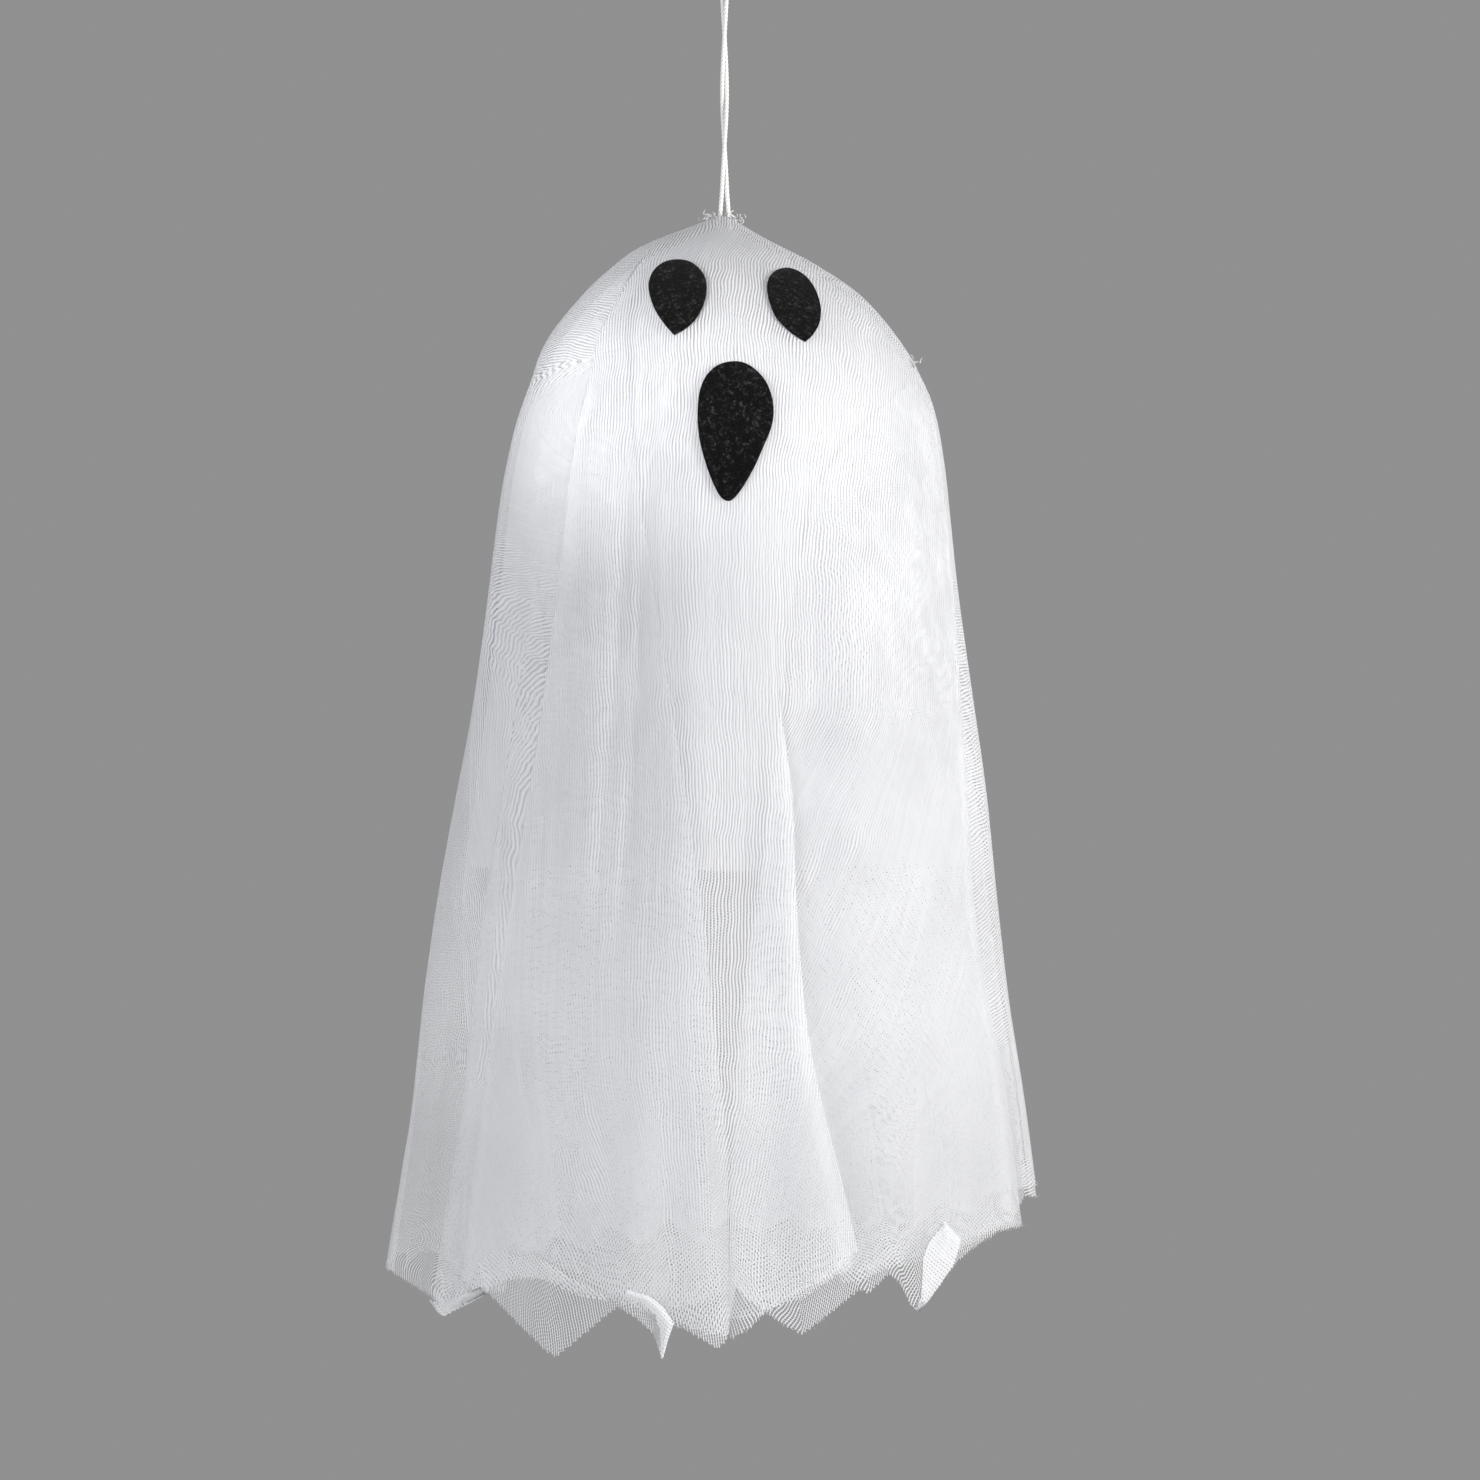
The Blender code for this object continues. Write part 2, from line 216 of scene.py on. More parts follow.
def alongCurve(route, step):
    # Points at about this step along a smooth curve through the route.
    ends = [2 * route[0] - route[1], *route, 2 * route[-1] - route[-2]]
    fine = []
    for before, first, second, after in zip(ends, ends[1:], ends[2:], ends[3:]):
        for part in range(16):
            t = part / 16
            fine.append(
                0.5
                * (
                    2 * first
                    + (second - before) * t
                    + (2 * before - 5 * first + 4 * second - after) * t**2
                    + (3 * first - before - 3 * second + after) * t**3
                )
            )
    fine.append(route[-1])
    lengths = [0.0]
    for first, second in zip(fine, fine[1:]):
        lengths.append(lengths[-1] + (second - first).length)
    count = round(lengths[-1] / step)
    points, at = [], 0
    for index in range(count + 1):
        want = lengths[-1] * index / count
        while at < len(fine) - 2 and lengths[at + 1] < want:
            at += 1
        share = (want - lengths[at]) / (lengths[at + 1] - lengths[at])
        points.append(fine[at].lerp(fine[at + 1], share))
    return points, lengths[-1]


def sweep(line, side, sides, reachAt):
    # Rings of points along a line. reachAt gives a point's distance from its angle and its way along.
    points, run = [], 0.0
    for index, place in enumerate(line):
        ahead = line[min(index + 1, len(line) - 1)] - line[max(index - 1, 0)]
        ahead.normalize()
        side = (side - ahead * side.dot(ahead)).normalized()
        across = ahead.cross(side)
        run += (place - line[max(index - 1, 0)]).length
        for corner in range(sides):
            turn = 2 * math.pi * corner / sides
            points.append(place + reachAt(turn, run) * (side * math.cos(turn) + across * math.sin(turn)))
    return points


def sweepFaces(base, rings, sides):
    faces = []
    for ring in range(rings - 1):
        for corner in range(sides):
            beside = (corner + 1) % sides
            low = base + ring * sides
            faces.append((low + corner, low + beside, low + sides + beside, low + sides + corner))
    return faces


def strandMesh(name, lines, radius, fuzz=0.0, seed=1):
    # Three-ply strands swept along lines of points, their ends closed
    dice = random.Random(seed)
    points, faces, plies = [], [], []
    sides, depth = string["sides"], string["plyDepth"]

    def plyAt(turn, run):
        plies.append(abs(math.cos(1.5 * (turn - 2 * math.pi * run / string["layLength"]))))
        return radius * (1 - depth + depth * plies[-1]) + fuzz * dice.uniform(-1, 1)

    for line in lines:
        base = len(points)
        points += sweep(line, Vector((1, 0, 0)), sides, plyAt)
        faces += sweepFaces(base, len(line), sides)
        faces.append(tuple(base + corner for corner in reversed(range(sides))))
        end = base + (len(line) - 1) * sides
        faces.append(tuple(end + corner for corner in range(sides)))
    mesh = smoothMesh(name, points, faces)
    mesh.attributes.new("ply", "FLOAT", "POINT").data.foreach_set("value", plies)
    return mesh


def cottonMaterial():
    made, tree = newMaterial("white_cotton_fibre")
    ply = addNode(tree, "ShaderNodeAttribute", attribute_name="ply").outputs["Fac"]
    fibre = noise(tree, objectPlace(tree), 3400.0, 3.0, 0.6)
    # The colour darkens into the grooves between the plies: painted shade, over a random tone of the fibres.
    depth = maths(tree, "MULTIPLY_ADD", fibre, 0.45, maths(tree, "MULTIPLY", ply, 0.75))
    colour = ramp(
        tree, depth, [(0.12, (0.42, 0.41, 0.39)), (0.5, (0.78, 0.77, 0.74)), (1, (0.92, 0.91, 0.89))]
    )
    bump = bumpFrom(tree, depth, 0.5, 0.0002)
    skin = addNode(
        tree,
        "ShaderNodeBsdfPrincipled",
        [("Base Color", colour), ("Roughness", 0.88), ("Sheen Weight", 0.25), ("Normal", bump)],
    )
    showSurface(tree, skin)
    return made


def makeString(cotton):
    leg = [roundPlace(away, 90 + turn, clothTop + up) for up, turn, away in string["leg"]]
    other = [Vector((-place.x, -place.y, place.z)) for place in leg]
    route = [*leg, Vector((0, 0, string["radius"])), *reversed(other)]
    line, length = alongCurve(route, string["step"])
    cord = addObject("hanging_string", strandMesh("hanging_string", [line], string["radius"], 0.00002))
    dress(cord, cotton, "hanging_cord")


cotton = cottonMaterial()
makeString(cotton)
print("string made")


# The draped form: half its width and its sideways shift at each depth below the cloth's top

form = {
    "halfWidth": (
        (0.0, 0.0030), (0.0030, 0.0092), (0.0057, 0.0148), (0.0101, 0.0243), (0.0144, 0.0330),
        (0.0188, 0.0405), (0.0232, 0.0468), (0.0276, 0.0528), (0.0319, 0.0580), (0.0363, 0.0626),
        (0.0451, 0.0704), (0.0538, 0.0768), (0.0625, 0.0818), (0.0713, 0.0854), (0.0800, 0.0889),
        (0.0888, 0.0916), (0.0975, 0.0936), (0.1150, 0.0966), (0.1325, 0.0988), (0.1675, 0.1030),
        (0.2113, 0.1091), (0.2550, 0.1157), (0.2987, 0.1217), (0.3425, 0.1275), (0.3862, 0.1333),
        (0.4300, 0.1394), (0.5200, 0.1520),
    ),
    "shift": (
        (0.0, -0.0008), (0.0057, -0.0036), (0.0101, -0.0055), (0.0144, -0.0058), (0.0188, -0.0046),
        (0.0276, -0.0026), (0.0363, -0.0012), (0.0538, -0.0006), (0.0713, 0.0010),
        (0.0800, 0.0013), (0.0975, 0.0007), (0.1325, -0.0002), (0.2113, -0.0004),
        (0.2550, -0.0009), (0.2987, -0.0024), (0.3425, -0.0028), (0.3862, -0.0018),
        (0.4300, -0.0024), (0.5200, -0.0024),
    ),
    "domeHeight": 0.100,
    "skirtHeight": 0.374,
    "stepTop": 0.0009,
    "stepHem": 0.0046,
    "stepPower": 1.5,
    "ripple": 0.0042,
    # Each wave round the skirt: how many, where they start and their share of the ripple
    "waves": ((23, 0, 0.55), (14, 1.1, 0.35), (37, 2, 0.22)),
    "pull": 0.0011,
    "creases": (-25.0, -19.3),
    "creaseDepth": 0.0009,
    "creaseWidth": 1.5,
}
hemDepth = form["domeHeight"] + form["skirtHeight"]


def halfWidth(depth):
    return eased(form["halfWidth"], depth)


def sideShift(depth):
    return eased(form["shift"], depth)


def layerStep(depth):
    share = max(0.0, (depth - form["domeHeight"]) / form["skirtHeight"])
    return form["stepTop"] + share ** form["stepPower"] * (form["stepHem"] - form["stepTop"])


def waves(angle, depth):
    # Loose waves of the skirt, soft pulls above them and two pressed creases beside the face.
    low = smooth((depth - 0.27) / 0.204)
    away = smooth(abs((angle + 180) % 360 - 180) / 110)
    turn = math.radians(angle)
    wave = sum(share * math.cos(count * turn + start) for count, start, share in form["waves"])
    made = form["ripple"] * low * (0.35 + 0.65 * away) * wave
    mid = smooth((depth - 0.05) / 0.12) * (1 - 0.6 * low)
    slanted = math.sin(9 * turn + 7 * depth + 0.6) + 0.6 * math.sin(17 * turn - 9 * depth)
    made += form["pull"] * mid * slanted
    spread = smooth((depth - 0.07) / 0.05) * (1 - smooth((depth - 0.27) / 0.07))
    for crease in form["creases"]:
        made -= form["creaseDepth"] * spread * math.exp(-(((angle - crease) / form["creaseWidth"]) ** 2))
    return made


def draped(angle, layer, depth):
    inset = layer * layerStep(depth)
    slope = max(0.0, 1 - depth / form["domeHeight"])
    atDepth = depth + inset * slope
    radius = max(0.0018, halfWidth(depth) - inset * (1 - 0.75 * slope))
    radius += waves(angle, depth)
    return roundPlace(radius, angle, clothTop - atDepth, sideShift(depth))


def seen(point):
    # Where a point shows in the photograph.
    size = photo["pixel"] * (photo["distance"] + point.y) / photo["distance"]
    across = photo["middle"] + (point.x - photo["across"]) / size
    return across, photo["middle"] - (point.z - photo["height"]) / size


# The shroud's eight folds, from the front left. side is +1 where the upper layer ends at the edge
# and the cloth goes back under it towards smaller angles. Places are (share of the depth, degrees).

folds = (
    {
        "side": -1,
        "edge": ((0.03, -46), (0.10, -42), (0.60, -45), (0.80, -48), (1.0, -48)),
        "tuck": ((0.03, 0), (0.18, 14), (0.60, 40), (0.82, 48.5), (1.0, 49.5)),
        "panelStep": 1.5,
    },
    {
        "side": 1,
        "edge": ((0.28, 13.3), (0.60, 15), (0.79, 17.6), (1.0, 24)),
        "tuck": ((0.28, 0), (0.50, 3), (0.60, 6), (0.79, 14), (1.0, 21.5)),
        "panelStep": 1.7,
    },
    {
        "side": 1,
        "edge": ((0.16, 80), (0.61, 64.4), (0.79, 66.6), (1.0, 69)),
        "tuck": ((0.14, 0), (0.19, 34), (0.27, 52), (0.60, 51), (0.80, 50), (1.0, 46)),
        "panelStep": 2.6,
        "sink": 1.3,
    },
    {
        "side": -1,
        "edge": ((0.05, 108), (1.0, 100)),
        "tuck": ((0.06, 0), (0.20, 12), (0.60, 25), (1.0, 38)),
        "panelStep": 3.0,
    },
    {
        "side": 1,
        "edge": ((0.05, 170), (1.0, 181)),
        "tuck": ((0.05, 0), (0.20, 12), (0.60, 23), (1.0, 34)),
        "panelStep": 3.0,
    },
    {
        "side": -1,
        "edge": ((0.05, 194), (1.0, 184)),
        "tuck": ((0.08, 0), (0.20, 8), (0.60, 18), (1.0, 26)),
        "panelStep": 3.0,
    },
    {
        "side": 1,
        "edge": ((0.10, 262), (0.44, 266), (0.58, 254), (0.76, 242), (1.0, 234)),
        "tuck": ((0.10, 0), (0.25, 9), (0.60, 18), (1.0, 20)),
        "panelStep": 2.4,
    },
    {
        "side": -1,
        "edge": ((0.30, 309), (0.60, 305.5), (0.80, 304.5), (1.0, 303)),
        "tuck": ((0.30, 0), (0.45, 6), (0.60, 10), (1.0, 13)),
        "panelStep": 1.6,
        "sink": 1.4,
    },
)
tuckStep = 3.2
foldTip = 0.6
# The column at the ghost's front, counted along the first fold's panel
frontColumn = 30


def foldColumns(fold):
    # (reach, tip, layer) for each column of a fold, in the order of the cloth, its bends rounded.
    steps = math.ceil(fold["tuck"][-1][1] / tuckStep)
    shares = [step / steps for step in range(1, steps)]
    columns = []
    for turn in (0, 45, 90, 135, 180):
        columns.append((0, math.sin(math.radians(turn)), 0.5 - 0.5 * math.cos(math.radians(turn))))
    columns += [(share, 0, 1) for share in shares]
    for turn in (0, 45, 90, 135, 180):
        columns.append((1, -math.sin(math.radians(turn)), 1.5 - 0.5 * math.cos(math.radians(turn))))
    columns += [(share, 0, 2) for share in reversed(shares)]
    columns.append((0, 0, 2))
    return columns if fold["side"] > 0 else columns[::-1]


def foldPlaces(fold, columns, station):
    edge = eased(fold["edge"], station)
    tuck = eased(fold["tuck"], station)
    opened = smooth(tuck / 4.0)
    places = []
    for index, (reach, tip, layer) in enumerate(columns):
        folded = edge - fold["side"] * (reach * tuck - tip * foldTip)
        flat = edge + (index / (len(columns) - 1) - 0.5) * 10.0
        places.append((flat + opened * (folded - flat), (layer + fold.get("sink", 0) * reach) * opened))
    return places


def panelPlaces(start, end, count):
    places = []
    for index in range(count):
        share = (index + 1) / (count + 1)
        layer = start[1] * (1 - smooth(share / 0.3)) + end[1] * smooth((share - 0.7) / 0.3)
        places.append((start[0] + share * (end[0] - start[0]), layer))
    return places


def panelCounts():
    counts = []
    for fold, after in zip(folds, folds[1:] + folds[:1]):
        wide = (after["edge"][-1][1] - fold["edge"][-1][1]) % 360
        counts.append(round(wide / fold["panelStep"]) - 1)
    return counts


def section(station):
    # (angle, layer) of each column all round at a share of the depth.
    own = [foldPlaces(fold, foldColumns(fold), station) for fold in folds]
    after = own[1:] + [[(angle + 360, layer) for angle, layer in own[0]]]
    places = []
    for fold, following, count in zip(own, after, panelCounts()):
        places += fold + panelPlaces(fold[-1], following[0], count)
    even = 1 - smooth(station / 0.05)
    first = places[0][0]
    spread = [first + 360 * index / len(places) for index in range(len(places))]
    return [(angle + even * (flat - angle), layer) for (angle, layer), flat in zip(places, spread)]


def columnLabels():
    # Which hem line each column of the shroud is cut to.
    labels = []
    for index, (fold, count) in enumerate(zip(folds, panelCounts())):
        for reach, tip, layer in foldColumns(fold):
            labels.append((index, round(layer)))
        labels += [(index, "panel")] * count
    return labels


# Hem lines by where they show in the photograph. Cloth at the back is cut in plain points.
hem = {
    "front": (
        (470, 1284), (487, 1293), (520, 1327), (554, 1360), (585, 1335), (617, 1308), (636, 1319),
        (655, 1337), (662, 1360), (668, 1338), (673, 1325), (690, 1333), (718, 1351), (729, 1340),
        (733, 1284), (740, 1295), (765, 1313), (800, 1295), (845, 1268), (852, 1254),
    ),
    "frontUnder": (
        (478, 1291), (500, 1282), (545, 1279), (560, 1285), (590, 1297), (617, 1304), (672, 1322),
        (718, 1340), (745, 1330),
    ),
    "frontLowest": (
        (478, 1256), (500, 1250), (535, 1254), (560, 1266), (590, 1283), (617, 1300), (672, 1312),
        (745, 1290),
    ),
    "leftStrip": (
        (380, 1266), (389, 1271), (415, 1288), (438, 1302), (444, 1317), (465, 1305), (487, 1293),
    ),
    "narrowUnder": ((737, 1340), (746, 1335), (763, 1313), (800, 1302), (850, 1268)),
    "right": (
        (737, 1322), (767, 1314), (800, 1338), (830, 1315), (862, 1289), (866, 1298), (878, 1286),
        (892, 1272), (905, 1292), (914, 1313), (925, 1306), (940, 1287), (955, 1265), (970, 1252),
        (1000, 1232), (1018, 1229), (1030, 1221),
    ),
    "rightUnder": ((862, 1284), (880, 1272), (950, 1257), (990, 1233), (1027, 1224)),
    "rightBehind": (
        (862, 1274), (905, 1262), (950, 1248), (1000, 1228), (1021, 1218), (1024, 1197), (1036, 1198),
        (1041, 1193),
    ),
    "back": ((90, 0.424), (125, 0.434), (155, 0.445), (185, 0.450), (230, 0.456), (275, 0.456)),
    "backDrop": 0.012,
    "pointPitch": 11.5,
}


def hemLine(label, angle):
    fold, layer = label
    front = -88 < angle < 88
    if fold == 0:
        if angle < -49.5:
            return "leftStrip" if front else None
        return {0: "front", "panel": "front", 1: "frontUnder", 2: "frontLowest"}[layer]
    if fold == 1:
        return {0: "front", 1: "narrowUnder", 2: "right", "panel": "right"}[layer]
    if fold == 2:
        if angle > 70 and front:
            return "rightBehind"
        return {0: "right", 1: "rightUnder", 2: "rightBehind", "panel": None}[layer]
    return "leftStrip" if fold > 5 and angle > 270 else None


def hemDepthAt(label, angle, layer):
    # How deep a column's hem hangs, so that it shows on its line.
    turned = (angle + 180) % 360 - 180
    line = hemLine(label, turned if label[0] < 6 else angle)
    wave = abs(2 * ((angle / hem["pointPitch"]) % 1) - 1)
    wave *= smooth((angle % 360 - 112) / 16) * smooth((262 - angle % 360) / 12)
    plain = between(hem["back"], angle % 360) + hem["backDrop"] * wave
    if line is None:
        return plain
    depth = hemDepth
    for again in range(5):
        point = draped(angle, layer, depth)
        size = photo["pixel"] * (photo["distance"] + point.y) / photo["distance"]
        across, down = seen(point)
        wanted = between(hem[line], across)
        depth += (wanted - down) * size
    return depth


def rowShares():
    shares = [0.0, 0.0012, 0.003, 0.005, 0.008, 0.012]
    while shares[-1] < 0.13:
        shares.append(shares[-1] + 0.0055)
    while shares[-1] < 0.86:
        shares.append(shares[-1] + 0.0068)
    count = 34
    start = shares[-1]
    shares += [start + (1 - start) * (index + 1) / count for index in range(count)]
    return shares


def gridMesh(name, rows, flatPlaces, closed=True):
    # A sheet from rows of points, with its flat cut as the UV map and each point's way to the hem.
    columns = len(rows[0])
    faces, spots = [], []
    for row in range(len(rows) - 1):
        for column in range(columns if closed else columns - 1):
            beside = (column + 1) % columns
            top, low = row * columns, (row + 1) * columns
            faces.append((top + column, low + column, low + beside, top + beside))
            upper, lower = flatPlaces[row], flatPlaces[row + 1]
            spots += [upper[column], lower[column], lower[column + 1], upper[column + 1]]
    toHem = [[0.0] * columns]
    for row in range(len(rows) - 2, -1, -1):
        steps = zip(toHem[0], rows[row], rows[row + 1])
        toHem.insert(0, [low + (here - under).length for low, here, under in steps])
    mesh = smoothMesh(name, [place for row in rows for place in row], faces)
    layer = mesh.uv_layers.new(name="flat_cut")
    layer.data.foreach_set("uv", [value for spot in spots for value in spot])
    way = mesh.attributes.new("to_hem", "FLOAT", "POINT")
    way.data.foreach_set("value", [value for row in toHem for value in row])
    return mesh


def flatCut(rows, reach, front):
    # Each row's places on the flat cut, a fan round the crown. The front column lies along its middle,
    # and its join is at the first column, on the hidden layer of the left front fold.
    flat = []
    for row, along in zip(rows, reach):
        count = len(row)
        run = [0.0]
        for index in range(count):
            run.append(run[-1] + (row[(index + 1) % count] - row[index]).length)
        middle = run[front]
        angles = [(value - middle) / max(along, 0.002) for value in run]
        flat.append([(along * math.sin(turn), -along * math.cos(turn)) for turn in angles])
    return flat


def meridian(depths):
    reach, last = [], (0.0, 0.0)
    total = 0.0
    for depth in depths:
        here = (halfWidth(depth), depth)
        total += math.dist(here, last)
        reach.append(total)
        last = here
    return reach


nets = {
    "shroud": {"pitch": 0.0013, "rib": 0.57, "cross": 0.2, "looser": 0.62, "teeth": 0.0028},
    "lining": {"pitch": 0.0009, "rib": 0.76, "cross": 0.62, "looser": 1.0, "teeth": 0.0008},
    "turned": {"pitch": 0.0013, "rib": 0.76, "cross": 0.5, "looser": 1.0, "teeth": 0.0014},
}


def netMaterial(name, cloth):
    # Knitted net: ribs along the cut and finer threads across them, with see-through holes between.
    # rib and cross are the threads' shares of the pitch, looser is what is left of them at the hem.
    made, tree = newMaterial(name)
    flat = addNode(tree, "ShaderNodeUVMap", uv_map="flat_cut").outputs["UV"]
    pull = addNode(tree, "ShaderNodeTexNoise", [("Vector", flat), ("Scale", 55.0), ("Detail", 1.0)])
    shift = addNode(
        tree,
        "ShaderNodeVectorMath",
        [(0, pull.outputs["Color"]), (1, (0.5, 0.5, 0.5))],
        operation="SUBTRACT",
    )
    moved = addNode(
        tree,
        "ShaderNodeVectorMath",
        [(0, shift.outputs[0]), (1, (0.0042, 0.0042, 0.0)), (2, flat)],
        operation="MULTIPLY_ADD",
    )
    parts = addNode(tree, "ShaderNodeSeparateXYZ", [("Vector", moved.outputs[0])])
    across = maths(tree, "MULTIPLY", parts.outputs["X"], 1 / cloth["pitch"])
    along = maths(tree, "MULTIPLY", parts.outputs["Y"], 1 / cloth["pitch"])
    brick = maths(tree, "MULTIPLY", maths(tree, "FLOOR", across), 0.5)
    ribWave = maths(tree, "PINGPONG", across, 0.5)
    crossWave = maths(tree, "PINGPONG", maths(tree, "ADD", along, brick), 0.5)
    reach = addNode(tree, "ShaderNodeVectorMath", [(0, flat)], operation="LENGTH").outputs["Value"]
    slack = mapRange(tree, reach, 0.38, 0.50, 1.0, cloth["looser"])
    ribHit = maths(tree, "LESS_THAN", ribWave, maths(tree, "MULTIPLY", slack, cloth["rib"] / 2))
    crossHit = maths(tree, "LESS_THAN", crossWave, maths(tree, "MULTIPLY", slack, cloth["cross"] / 2))
    thread = maths(tree, "MAXIMUM", ribHit, crossHit)

    # The hem is cut in fine teeth
    toHem = addNode(tree, "ShaderNodeAttribute", attribute_name="to_hem").outputs["Fac"]
    slant = maths(tree, "ADD", parts.outputs["X"], parts.outputs["Y"])
    saw = maths(tree, "PINGPONG", maths(tree, "MULTIPLY", slant, 1 / 0.0026), 0.5)
    kept = maths(tree, "GREATER_THAN", toHem, maths(tree, "MULTIPLY", saw, cloth["teeth"]))
    thread = maths(tree, "MULTIPLY", thread, kept)

    # Soft streaks along the cloth, and painted shade in the gaps between the ribs on the head, where the
    # dark inside shows through the holes
    cloud = noise(tree, objectPlace(tree), 26.0)
    drawn = addNode(tree, "ShaderNodeVectorMath", [(0, flat), (1, (430, 11, 0))], operation="MULTIPLY")
    streak = noise(tree, drawn.outputs[0], 1.0)
    mottle = maths(tree, "MULTIPLY_ADD", streak, 0.6, maths(tree, "MULTIPLY", cloud, 0.4))
    colour = ramp(tree, mottle, [(0.38, (0.81, 0.815, 0.83)), (0.62, (0.91, 0.915, 0.925))])
    head = mapRange(tree, reach, 0.06, 0.14, 0.5, 0.0)
    gap = mapRange(tree, ribWave, 0.17, 0.27, 0.0, 1.0)
    # Painted shade: on the head the gaps between the ribs are mixed towards dark grey.
    paintedRibGapShade = addNode(tree, "ShaderNodeMix", [(0, maths(tree, "MULTIPLY", gap, head)), (6, colour)])
    paintedRibGapShade.data_type = "RGBA"
    paintedRibGapShade.inputs[7].default_value = (0.30, 0.305, 0.32, 1)
    height = maths(tree, "SUBTRACT", 0.5, ribWave)
    bump = bumpFrom(tree, height, 0.5, 0.0005)
    face = addNode(
        tree,
        "ShaderNodeBsdfPrincipled",
        [("Base Color", paintedRibGapShade.outputs[2]), ("Roughness", 0.62), ("Sheen Weight", 0.2), ("Normal", bump)],
    )
    through = addNode(tree, "ShaderNodeBsdfTranslucent", [("Color", (0.88, 0.885, 0.9, 1))])
    body = addNode(
        tree, "ShaderNodeMixShader", [(0, 0.38), (1, face.outputs[0]), (2, through.outputs[0])]
    )
    hole = addNode(tree, "ShaderNodeBsdfTransparent")
    mixed = addNode(
        tree, "ShaderNodeMixShader", [(0, thread), (1, hole.outputs[0]), (2, body.outputs[0])]
    )
    showSurface(tree, mixed)
    return made


def sheetArea(item):
    return sum(face.area for face in item.data.polygons)


def makeShroud(net):
    labels = columnLabels()
    lowest = section(1.0)
    hems = [hemDepthAt(label, angle, layer) for label, (angle, layer) in zip(labels, lowest)]
    rows, depths = [], []
    for share in rowShares():
        depth = share * hemDepth
        pull = smooth((share - 0.72) / 0.28)
        depths.append(depth)
        row = []
        for (angle, layer), low in zip(section(share), hems):
            row.append(draped(angle, layer, depth + pull * (low - hemDepth)))
        rows.append(row)
    front = labels.index((0, "panel")) + frontColumn
    flat = flatCut(rows, meridian(depths), front)
    shroud = addObject("outer_net", gridMesh("outer_net", rows, flat))
    dress(shroud, net, "outer_shroud")
    return shroud


net = netMaterial("white_net_cloth", nets["shroud"])
shroud = makeShroud(net)
print("shroud made", len(shroud.data.polygons), round(sheetArea(shroud), 4))


# The lining: a shorter sheet of a closer net, gathered at the crown, with a straight hem

lining = {
    "depth": 0.2825,
    "columns": 300,
    "rows": 70,
    "flutes": 32,
    "fluteDepth": 0.0018,
    "layers": 3.4,
    "gap": 0.0006,
    "leftGap": 0.0024,
    "flatWidth": 0.66,
}


def liningPlace(angle, depth):
    # Under the shroud's layers, and a little farther in on the left of the head
    turn = math.radians(angle)
    left = max(0.0, -math.sin(turn)) * smooth(depth / 0.012) * (1 - smooth((depth - 0.05) / 0.04))
    inset = lining["layers"] * layerStep(depth) + lining["gap"] + lining["leftGap"] * left
    slope = max(0.0, 1 - depth / form["domeHeight"])
    radius = max(0.0036, halfWidth(depth) - inset * (1 - 0.6 * slope))
    flute = 0.5 + 0.35 * math.cos(lining["flutes"] * turn) + 0.15 * math.cos(41 * turn + 2)
    radius -= lining["fluteDepth"] * min(1.0, radius / 0.05) * flute
    return roundPlace(radius, angle, clothTop - depth - inset * slope, sideShift(depth))


def makeLining(net):
    count, levels = lining["columns"], lining["rows"]
    rows, depths = [], []
    for level in range(levels + 1):
        depth = lining["depth"] * (0.004 + 0.996 * (level / levels) ** 1.25)
        depths.append(depth)
        wavy = 0.0012 * smooth(level / levels * 2 - 1)
        row = []
        for column in range(count):
            angle = 180 + 360 * column / count
            row.append(liningPlace(angle, depth + wavy * math.sin(5 * math.radians(angle) + 1)))
        rows.append(row)
    reach = meridian(depths)
    flat = []
    for row, along in zip(rows, reach):
        wide = lining["flatWidth"]
        flat.append([(wide * (column / count - 0.5), -along) for column in range(count + 1)])
    made = addObject("lining_net", gridMesh("lining_net", rows, flat))
    dress(made, net, "inner_lining")
    return made


liningPiece = makeLining(netMaterial("lining_net_cloth", nets["lining"]))
print("lining made", round(sheetArea(liningPiece), 4))


# The felt face, traced as (across, down) on the photograph. The point of each drop is first.

face = {
    "left_eye": (
        (674.3, 335.7), (666.2, 326.6), (657.6, 314.7), (652.1, 302.7), (649.3, 289.7), (651.1, 278.9),
        (656.9, 269.8), (666.2, 263.7), (678.2, 261.6), (690.1, 263.7), (698.8, 269.8), (704.8, 277.8),
        (706.8, 287.6), (705.7, 298.4), (702.0, 309.3), (695.5, 320.1), (685.8, 329.3),
    ),
    "right_eye": (
        (805.0, 342.4), (796.3, 337.4), (785.5, 328.8), (775.7, 317.9), (769.9, 304.9), (767.1, 291.9),
        (767.7, 281.1), (773.6, 273.5), (784.4, 270.0), (795.3, 272.4), (805.0, 278.9), (812.6, 288.7),
        (817.6, 300.6), (819.8, 312.5), (818.5, 324.4), (812.6, 335.3),
    ),
    "mouth": (
        (728.7, 501.2), (720.5, 496.8), (712.9, 482.7), (706.4, 465.4), (700.9, 445.9), (698.1, 426.3),
        (697.9, 409.0), (699.9, 391.7), (706.4, 376.5), (718.3, 365.6), (733.5, 361.9), (746.5, 364.5),
        (758.4, 373.2), (767.1, 385.1), (772.1, 400.3), (773.1, 415.5), (769.9, 430.7), (762.7, 448.0),
        (754.1, 467.5), (744.3, 484.9), (735.6, 496.8),
    ),
}
felt = {
    "thick": 0.0015,
    "gap": 0.0003,
    "rings": (1.0, 0.985, 0.95, 0.86, 0.7, 0.48, 0.24),
    "rounding": (0.35, 0.8, 0.97, 1.0, 1.0, 1.0, 1.0),
    "step": 0.0009,
}


